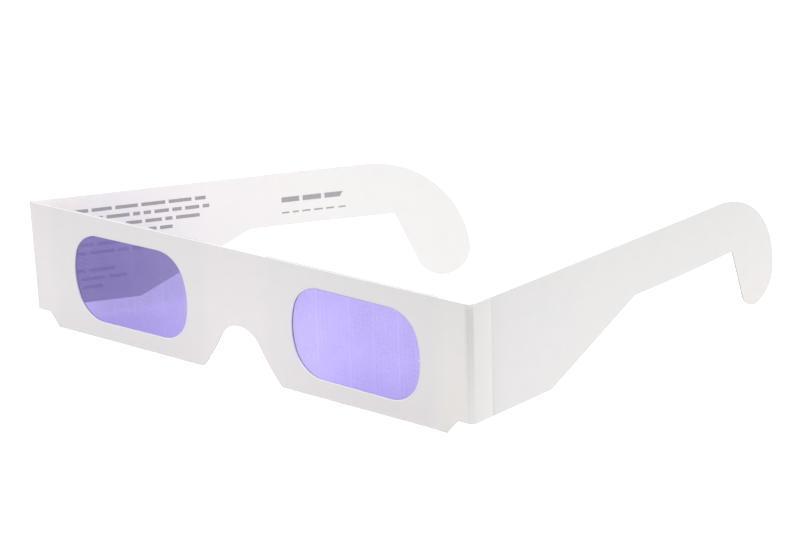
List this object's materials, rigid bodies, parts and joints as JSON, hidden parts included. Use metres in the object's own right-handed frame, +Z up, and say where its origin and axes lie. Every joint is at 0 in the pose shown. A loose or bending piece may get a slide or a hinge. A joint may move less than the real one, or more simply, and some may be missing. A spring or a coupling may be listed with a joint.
{
  "type": "folding card glasses",
  "caption": "White folding card glasses with rounded eye openings closed by a violet light-bending film, a nose cut-out, and flat temples that fold at creases and end in ear hooks.",
  "frame": {"origin": "on the outer face of the front, in the middle of the bridge and level with the centres of the eye openings", "axes": "+X to the wearer's left, +Y back along the temples, +Z up; -Y is the outward normal of the front's outer face"},
  "size_m": [0.1623, 0.1224, 0.0352],
  "materials": {
    "card": "matt white coated paperboard, no grain",
    "creased_card": "matt white coated paperboard, creased",
    "film": "violet light-bending film with a fine grid",
    "glue": "thin clear glue"
  },
  "bodies": {
    "front": {"front_panel": "card", "left_back_flap": "card", "right_back_flap": "card", "left_bottom_fold": "creased_card", "right_bottom_fold": "creased_card", "left_lens_film": "film", "right_lens_film": "film", "left_glue_coat": "glue", "right_glue_coat": "glue", "left_corner_crease": "creased_card", "right_corner_crease": "creased_card"},
    "left_strip": {"left_hinge_strip": "card", "left_temple_crease": "creased_card"},
    "right_strip": {"right_hinge_strip": "card", "right_temple_crease": "creased_card"},
    "left_arm": {"left_temple": "card"},
    "right_arm": {"right_temple": "card"}
  },
  "joints": [
    {"name": "left_corner_fold", "type": "hinge", "parent": "front", "child": "left_strip", "pos_m": [0.0721, 0.00045, 0], "axis": [0, 0, 1], "range_deg": [-80.4, 24.6], "deforming": ["left_corner_crease"]},
    {"name": "right_corner_fold", "type": "hinge", "parent": "front", "child": "right_strip", "pos_m": [-0.0721, 0.00045, 0], "axis": [0, 0, -1], "range_deg": [-129, 36], "deforming": ["right_corner_crease"]},
    {"name": "left_temple_fold", "type": "hinge", "parent": "left_strip", "child": "left_arm", "pos_m": [0.07328, 0.00745, 0], "axis": [0, 0, 1], "range_deg": [0, 13], "deforming": ["left_temple_crease"]},
    {"name": "right_temple_fold", "type": "hinge", "parent": "right_strip", "child": "right_arm", "pos_m": [-0.06763, 0.00597, 0], "axis": [0, 0, -1], "range_deg": [0, 13], "deforming": ["right_temple_crease"]}
  ]
}
